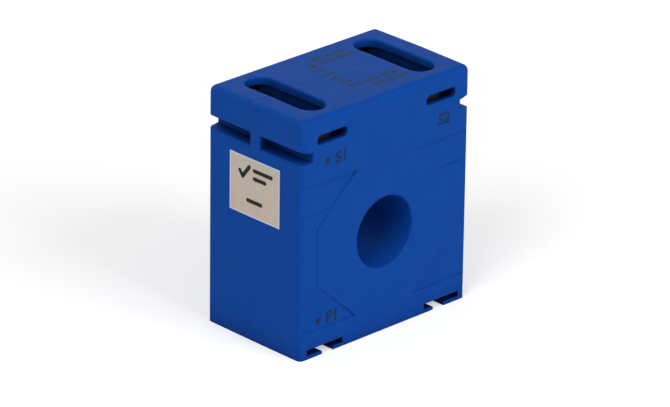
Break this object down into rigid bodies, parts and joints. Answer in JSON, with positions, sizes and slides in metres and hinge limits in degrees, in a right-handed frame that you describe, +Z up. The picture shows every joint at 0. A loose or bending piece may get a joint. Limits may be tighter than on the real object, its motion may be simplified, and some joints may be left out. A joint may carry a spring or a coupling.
{
  "type": "current transformer",
  "caption": "Window-type current transformer: moulded case with a round primary window, screw terminals under slots in its top and foot slots in its underside.",
  "frame": {"origin": "middle of the underside, on the surface the case stands on", "axes": "+Z up towards the terminals, +Y from the front face to the rear face along the window's axis, +X to the right seen from the front"},
  "size_m": [0.0625, 0.037, 0.0692],
  "materials": {
    "case_blue": "injection-moulded polycarbonate blend, fine satin skin",
    "label_paper": "matt self-adhesive paper",
    "core_steel": "wound grain-oriented electrical steel strip",
    "cap_plastic": "moulded polyamide, natural",
    "copper_wire": "enamelled copper wire",
    "tape_film": "polyester tape",
    "sleeve_glass": "varnished glass-fibre sleeve",
    "terminal_brass": "nickel-plated brass",
    "plate_steel": "zinc-plated steel",
    "screw_steel": "zinc-plated steel, slotted head"
  },
  "bodies": {
    "root": {"front_shell": "case_blue", "rear_shell": "case_blue", "side_label": "label_paper", "core": "core_steel", "core_cap_front": "cap_plastic", "core_cap_rear": "cap_plastic", "secondary_winding": "copper_wire", "winding_tape": "tape_film", "lead_s1": "copper_wire", "lead_s2": "copper_wire", "sleeve_s1": "sleeve_glass", "sleeve_s2": "sleeve_glass", "terminal_bar_s1": "terminal_brass", "terminal_bar_s2": "terminal_brass", "clamp_plate_s1_front": "plate_steel", "terminal_screw_s1_front": "screw_steel", "clamp_plate_s1_rear": "plate_steel", "terminal_screw_s1_rear": "screw_steel", "clamp_plate_s2_front": "plate_steel", "terminal_screw_s2_front": "screw_steel", "clamp_plate_s2_rear": "plate_steel", "terminal_screw_s2_rear": "screw_steel"}
  },
  "joints": []
}
